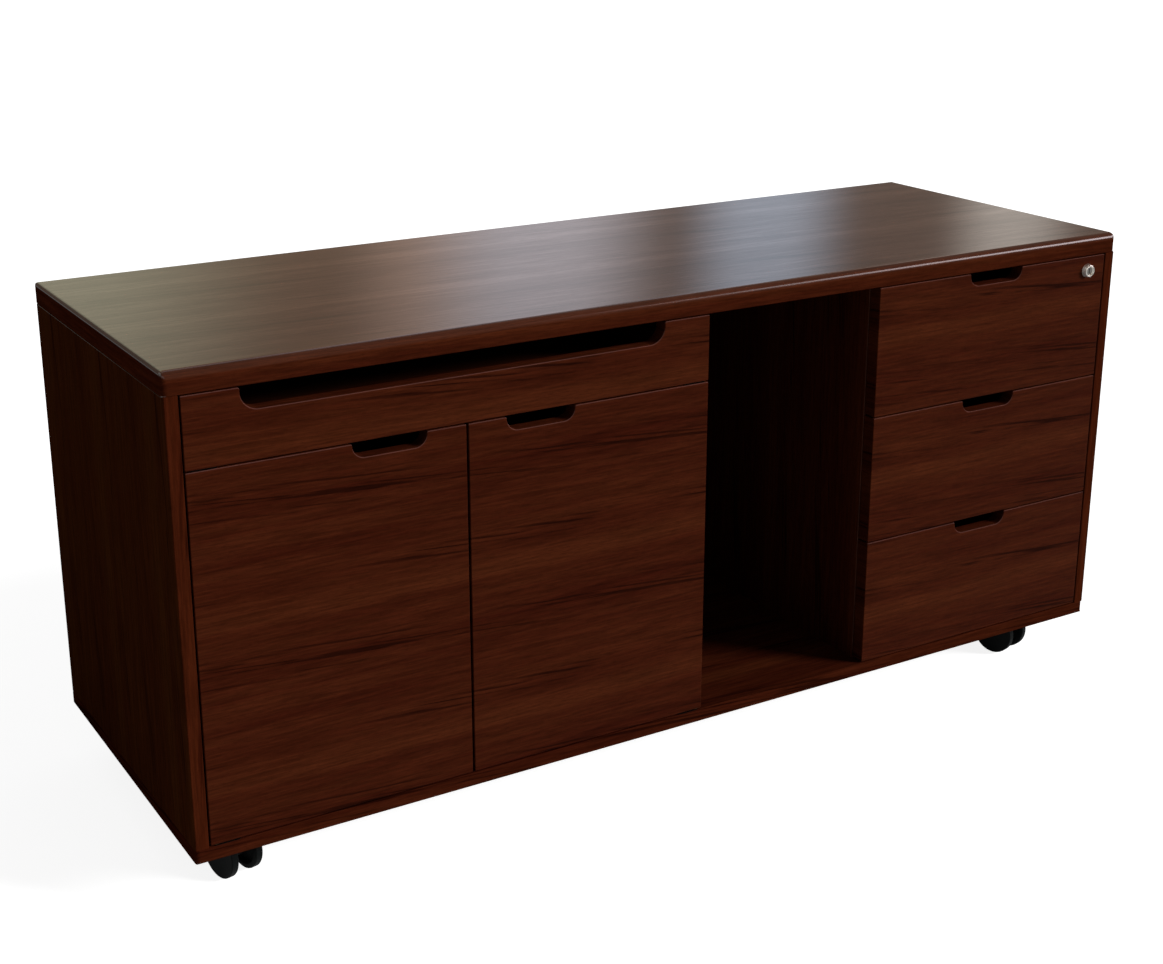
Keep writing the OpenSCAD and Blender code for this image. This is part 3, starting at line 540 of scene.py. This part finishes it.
def front_outline(low, high, grip_x, width, depth, radius):
    """Outline of a front with its cut, anticlockwise seen from the front."""
    a = ARRIS
    flare = min(FLARE, depth - radius)
    reach = width / 2 - flare
    points = arc(low.x + a, low.z + a, a, 180, 270, 3)
    points += arc(high.x - a, low.z + a, a, 270, 360, 3)
    points += arc(high.x - a, high.z - a, a, 0, 90, 3)
    points += arc(grip_x + reach + flare, high.z - flare, flare, 90, 180, 5)
    bottom = high.z - depth
    points += arc(grip_x + reach - radius, bottom + radius, radius, 0, -90, 14)
    points += arc(grip_x - reach + radius, bottom + radius, radius, -90, -180, 14)
    points += arc(grip_x - reach - flare, high.z - flare, flare, 0, 90, 5)
    points += arc(low.x + a, high.z - a, a, 90, 180, 3)
    return [p for i, p in enumerate(points) if (p - points[i - 1]).length > SAME_POINT]


def front(node, body, grip_x, grip):
    """A door or drawer front that stands for its node."""
    low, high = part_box(node)
    outline = front_outline(low, high, grip_x, **grip)
    piece = pushed_outline(node + "_veneered", outline, low.y, high.y, ARRIS * 0.9, BACK_ARRIS)
    return dress(piece, front_veneer, body, "mahogany_veneer", node)


left_low, left_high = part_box("left_door")
right_low, right_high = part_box("right_door")
grip_inset = DOOR_GRIP_INSET + GRIP["width"] / 2
front("left_door", "left_door", left_high.x - grip_inset, GRIP)
front("right_door", "right_door", right_low.x + grip_inset, GRIP)
for drawer, grip in (("wide", LONG_GRIP), ("top", GRIP), ("middle", GRIP), ("lower", GRIP)):
    node = drawer + "_drawer_front"
    low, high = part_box(node)
    front(node, drawer + "_drawer", (low.x + high.x) / 2, grip)
print("six fronts")

# %% [markdown]
# ## Fittings
# Locks, slides, pivots and casters are small and round, and the frame holds
# them finely enough. They stay as they are and only get their finish.

# %% Finishes of the frame's own pieces
finishes = {
    "lock_housing": (nickel, "lock_nickel"),
    "lock_plug": (plug_nickel, "lock_nickel"),
    "lock_nut": (zinc, "zinc_steel"),
    "lock_cam": (zinc, "zinc_steel"),
    "lock_cam_screw": (zinc, "zinc_steel"),
    "lock_strike": (zinc, "zinc_steel"),
    "slide_rails": (zinc, "zinc_steel"),
    "pivot_leaves": (black_steel, "black_steel"),
    "shelf_pins": (zinc, "zinc_steel"),
    "kingpins": (zinc, "zinc_steel"),
    "caster_screws": (zinc, "zinc_steel"),
    "door_catch": (nylon, "caster_nylon"),
    "caster_plates": (black_steel, "black_steel"),
}
for side in ("left", "right"):
    finishes[side + "_door_bushes"] = (bronze, "brass_bush")
    finishes[side + "_door_keeper"] = (zinc, "zinc_steel")
for drawer in ("wide", "top", "middle", "lower"):
    finishes[drawer + "_drawer_box"] = (box_veneer, "drawer_box_wood")
    finishes[drawer + "_drawer_floor"] = (box_veneer, "drawer_box_wood")
    finishes[drawer + "_drawer_runners"] = (zinc, "zinc_steel")
    finishes[drawer + "_slide_carriers"] = (zinc, "zinc_steel")
for corner in ("front_left", "front_right", "rear_left", "rear_right"):
    finishes[corner + "_fork"] = (nylon, "caster_nylon")
    finishes[corner + "_axle"] = (zinc, "zinc_steel")
    finishes[corner + "_wheels"] = (wheel_black, "caster_wheel_black")
for node, (material, slot) in finishes.items():
    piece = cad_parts[node]
    piece.data.materials.clear()
    piece.data.materials.append(material)
print(len(finishes), "pieces of the frame finished")

# %% [markdown]
# ## Screws
# One screw head, a low dome with a round socket, is set on every place where
# a screw holds the back panel, a drawer front or a slide's runner. Geometry
# Nodes turns each head along the screw's own axis, and by chance round it.

# %% A screw head and the nodes that repeat it
# Radius and height of each ring of points, as shares of the head's radius
HEAD_RINGS = ((1.0, 0.0), (1.0, 0.22), (0.82, 0.5), (0.52, 0.6), (0.45, 0.6), (0.38, 0.18))
HEAD_SIDES = 12


def make_head():
    """A screw head of radius 1 that stands on the XY plane."""
    bm = bmesh.new()
    rings = []
    turns = [math.tau * side / HEAD_SIDES for side in range(HEAD_SIDES)]
    for radius, height in HEAD_RINGS:
        spots = [(radius * math.cos(a), radius * math.sin(a), height) for a in turns]
        rings.append([bm.verts.new(spot) for spot in spots])
    bm.faces.new(rings[0][::-1])
    bm.faces.new(rings[-1])
    for low, high in zip(rings, rings[1:]):
        for side in range(HEAD_SIDES):
            after = (side + 1) % HEAD_SIDES
            bm.faces.new((low[side], low[after], high[after], high[side]))
    bmesh.ops.recalc_face_normals(bm, faces=bm.faces)
    head = new_object("screw_head", bm)
    head.data.shade_smooth()
    head.data.set_sharp_from_angle(angle=SMOOTH_ANGLE)
    scene.collection.objects.unlink(head)
    return head


def make_screw_tree():
    """Nodes that put a head on each vertex, along the vertex's own direction."""
    tree = bpy.data.node_groups.new("set screws", "GeometryNodeTree")
    face = tree.interface
    inputs = {"Geometry": "Geometry", "Head": "Object", "Radius": "Float", "Seed": "Int",
              "Material": "Material"}
    for name, kind in inputs.items():
        face.new_socket(name, in_out="INPUT", socket_type="NodeSocket" + kind)
    face.new_socket("Geometry", in_out="OUTPUT", socket_type="NodeSocketGeometry")
    make = tree.nodes.new
    given = make("NodeGroupInput").outputs
    head = make("GeometryNodeObjectInfo")
    way = make("GeometryNodeInputNamedAttribute")
    way.data_type = "FLOAT_VECTOR"
    way.inputs["Name"].default_value = "way"
    align = make("FunctionNodeAlignRotationToVector")
    align.axis = "Z"
    chance = make("FunctionNodeRandomValue")
    chance.data_type = "FLOAT"
    spin = make("FunctionNodeAxisAngleToRotation")
    spin.inputs["Axis"].default_value = (0, 0, 1)
    turned = make("FunctionNodeRotateRotation")
    turned.rotation_space = "LOCAL"
    place = make("GeometryNodeInstanceOnPoints")
    whole = make("GeometryNodeRealizeInstances")
    finish = make("GeometryNodeSetMaterial")
    out = make("NodeGroupOutput")
    chance.inputs["Max"].default_value = math.tau
    links = (
        (given["Head"], head.inputs["Object"]),
        (way.outputs["Attribute"], align.inputs["Vector"]),
        (given["Seed"], chance.inputs["Seed"]),
        (chance.outputs["Value"], spin.inputs["Angle"]),
        (align.outputs["Rotation"], turned.inputs["Rotation"]),
        (spin.outputs["Rotation"], turned.inputs["Rotate By"]),
        (given["Geometry"], place.inputs["Points"]),
        (head.outputs["Geometry"], place.inputs["Instance"]),
        (turned.outputs["Rotation"], place.inputs["Rotation"]),
        (given["Radius"], place.inputs["Scale"]),
        (place.outputs["Instances"], whole.inputs["Geometry"]),
        (whole.outputs["Geometry"], finish.inputs["Geometry"]),
        (given["Material"], finish.inputs["Material"]),
        (finish.outputs["Geometry"], out.inputs[0]),
    )
    for start, end in links:
        tree.links.new(start, end)
    return tree


screw_head = make_head()
screw_tree = make_screw_tree()
print("screw head:", len(screw_head.data.polygons), "faces")

# %% Screws on each body
SEED = 7
RUNNER_WEB = 0.0083          # from a runner's outer face to its inner wall
RUNNER_SCREWS = (0.036, 0.164, 0.356)
RUNNER_HEAD = 0.0032
BOX_THICK = 0.012
FRONT_SCREW_INSET = 0.070
BACK_RIM = 0.009
BACK_HEAD = 0.0034


def set_screws(name, places, radius, material, body):
    """One mesh of screws. places holds pairs: where a head stands, and its way out."""
    mesh = bpy.data.meshes.new(name)
    mesh.from_pydata([spot for spot, way in places], [], [])
    ways = mesh.attributes.new("way", "FLOAT_VECTOR", "POINT")
    for index, (spot, way) in enumerate(places):
        ways.data[index].vector = way
    obj = bpy.data.objects.new(name, mesh)
    scene.collection.objects.link(obj)
    nodes = obj.modifiers.new("screws", "NODES")
    nodes.node_group = screw_tree
    wanted = {"Head": screw_head, "Radius": radius, "Seed": SEED, "Material": material}
    for item in screw_tree.interface.items_tree:
        if item.in_out == "INPUT" and item.name in wanted:
            nodes[item.identifier] = wanted[item.name]
    graph = bpy.context.evaluated_depsgraph_get()
    done = bpy.data.meshes.new_from_object(obj.evaluated_get(graph))
    obj.modifiers.clear()
    obj.data = done
    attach(obj, body)
    return len(places)


def spread(low, high, count):
    """count values from low to high, evenly spaced."""
    return [low + (high - low) * step / (count - 1) for step in range(count)]


BACKWARD = (0, 1, 0)
low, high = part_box("back_panel")
behind = []
for x in spread(low.x + BACK_RIM, high.x - BACK_RIM, 9):
    behind += [((x, high.y, z), BACKWARD) for z in (low.z + BACK_RIM, high.z - BACK_RIM)]
uprights = [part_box(side + "_divider")[0].x for side in ("left", "right")]
columns = [low.x + BACK_RIM] + [x + BACK_RIM for x in uprights] + [high.x - BACK_RIM]
for z in spread(low.z + BACK_RIM, high.z - BACK_RIM, 5)[1:-1]:
    behind += [((x, high.y, z), BACKWARD) for x in columns]
count = set_screws("back_screws", behind, BACK_HEAD, zinc, "case")
for drawer in ("wide", "top", "middle", "lower"):
    low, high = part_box(drawer + "_drawer_runners")
    z = (low.z + high.z) / 2
    held = []
    for y in (low.y + step for step in RUNNER_SCREWS):
        held.append(((low.x + RUNNER_WEB, y, z), (-1, 0, 0)))
        held.append(((high.x - RUNNER_WEB, y, z), (1, 0, 0)))
    low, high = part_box(drawer + "_drawer_box")
    across, shares = (3, (0.5,)) if drawer == "wide" else (2, (0.3, 0.72))
    for x in spread(low.x + FRONT_SCREW_INSET, high.x - FRONT_SCREW_INSET, across):
        for share in shares:
            z = low.z + (high.z - low.z) * share
            held.append(((x, low.y + BOX_THICK, z), BACKWARD))
    name, body = drawer + "_drawer_screws", drawer + "_drawer"
    count += set_screws(name, held, RUNNER_HEAD, zinc, body)
print(count, "screws set")

# %% [markdown]
# ## Floor, light and room
# The picture was cut out on white. The floor is a pale sheet that keeps the
# cabinet's shadow; a glow that only the camera and mirror-like surfaces see
# lifts it to white. One soft sun stands about 24 degrees high at the front
# right, so the left side and the open bay lie in shade, as they do in the
# picture. In gloss, the
# sky shows as a dim room with tall soft panels, and the lacquered top
# mirrors them.

# %% Floor
FLOOR_COLOUR = 0.6
CAMERA_GLOW = 0.86
GLOSS_GLOW = 0.1


def make_floor():
    """A wide pale floor that the camera sees as nearly white, and not at all from below."""
    bm = bmesh.new()
    bmesh.ops.create_circle(bm, cap_ends=True, segments=96, radius=60)
    floor = new_object("floor", bm)
    material = bpy.data.materials.new("pale floor")
    material.use_nodes = True
    tree = material.node_tree
    skin = tree.nodes["Principled BSDF"]
    skin.inputs["Base Color"].default_value = (FLOOR_COLOUR,) * 3 + (1,)
    skin.inputs["Roughness"].default_value = 0.9
    skin.inputs["Specular IOR Level"].default_value = 0.0
    skin.inputs["Emission Color"].default_value = (1, 1, 1, 1)
    path = add(tree, "LightPath").outputs
    mirrored = maths(tree, "MAXIMUM", path["Is Glossy Ray"], path["Is Transmission Ray"])
    glow = maths(tree, "MULTIPLY", mirrored, GLOSS_GLOW)
    glow = maths(tree, "MULTIPLY_ADD", path["Is Camera Ray"], CAMERA_GLOW, glow)
    tree.links.new(glow, skin.inputs["Emission Strength"])
    below = add(tree, "NewGeometry").outputs["Backfacing"]
    unseen = maths(tree, "MULTIPLY", below, path["Is Camera Ray"])
    tree.links.new(maths(tree, "SUBTRACT", 1.0, unseen), skin.inputs["Alpha"])
    floor.data.materials.append(material)
    return floor


make_floor()

# %% Room seen in gloss
SKY_LIGHT = (0.19, 0.19, 0.19, 1)
DIM_ROOM = (0.29, 0.225, 0.18, 1)
# Each panel: its middle in degrees to the right of straight back and in
# degrees above the horizon, half of its width and height, how soft its
# upright and its level edges are, and its light
PANELS = {
    "brown wall": ((13.5, 25), (11.5, 70), (6, 6), (0.37, 0.27, 0.19, 1)),
    "warm left": ((8.2, 25), (9.2, 70), (5, 5), (0.86, 0.84, 0.61, 1)),
    "rosy": ((26.6, 25), (1.6, 70), (2.0, 5), (0.80, 0.58, 0.46, 1)),
    "middle": ((29.8, 25), (2.05, 70), (2.6, 5), (1.17, 1.12, 1.19, 1)),
    "cool": ((37.0, 25), (1.4, 70), (1.7, 5), (0.88, 0.98, 1.14, 1)),
    "warm right": ((44.7, 25), (1.0, 70), (1.35, 5), (1.14, 1.04, 0.93, 1)),
    "lamp": ((120, 25), (12, 6), (14, 5), (13.0, 11.7, 12.1, 1)),
    "left window": ((-62.0, 40), (34, 26), (8, 8), (1.5, 1.5, 1.45, 1)),
    "front window": ((-145.0, 20), (28, 14), (8, 8), (1.0, 1.0, 1.0, 1)),
}


def make_room():
    """World light: even for light rays, white for the camera, a room in gloss."""
    world = bpy.data.worlds.new("studio")
    scene.world = world
    world.use_nodes = True
    tree = world.node_tree
    way = add(tree, "SeparateXYZ", {0: add(tree, "TexCoord").outputs["Generated"]}).outputs
    heading = maths(tree, "DEGREES", maths(tree, "ARCTAN2", way["X"], way["Y"]))
    height = maths(tree, "DEGREES", maths(tree, "ARCSINE", way["Z"]))
    room = DIM_ROOM
    for (across, up), (half_width, half_height), (soft, soft_up), light in PANELS.values():
        aside = maths(tree, "ABSOLUTE", maths(tree, "SUBTRACT", heading, across))
        above = maths(tree, "ABSOLUTE", maths(tree, "SUBTRACT", height, up))
        inside = remap(tree, aside, half_width - soft / 2, half_width + soft, 1.0, 0.0)
        within = remap(tree, above, half_height - soft_up / 2, half_height + soft_up, 1.0, 0.0)
        room = tint(tree, maths(tree, "MULTIPLY", inside, within), room, light)
    path = add(tree, "LightPath").outputs
    gloss = maths(tree, "MAXIMUM", path["Is Glossy Ray"], path["Is Transmission Ray"])
    light = tint(tree, gloss, SKY_LIGHT, room)
    light = tint(tree, path["Is Camera Ray"], light, (1, 1, 1, 1))
    tree.links.new(light, tree.nodes["Background"].inputs["Color"])
    return world


make_room()

# %% Sun
SUN_LIGHT = 1.17 * math.pi
SUN_SOFTNESS = math.radians(20)
SUN_FROM = Vector((0.68, -0.61, 0.41))

lamp = bpy.data.lights.new("sun", "SUN")
lamp.energy = SUN_LIGHT
lamp.angle = SUN_SOFTNESS
sun = bpy.data.objects.new("sun", lamp)
sun.rotation_euler = SUN_FROM.to_track_quat("Z", "Y").to_euler()
sun.visible_glossy = False
scene.collection.objects.link(sun)
scene.view_settings.view_transform = "Standard"
print("light in place")
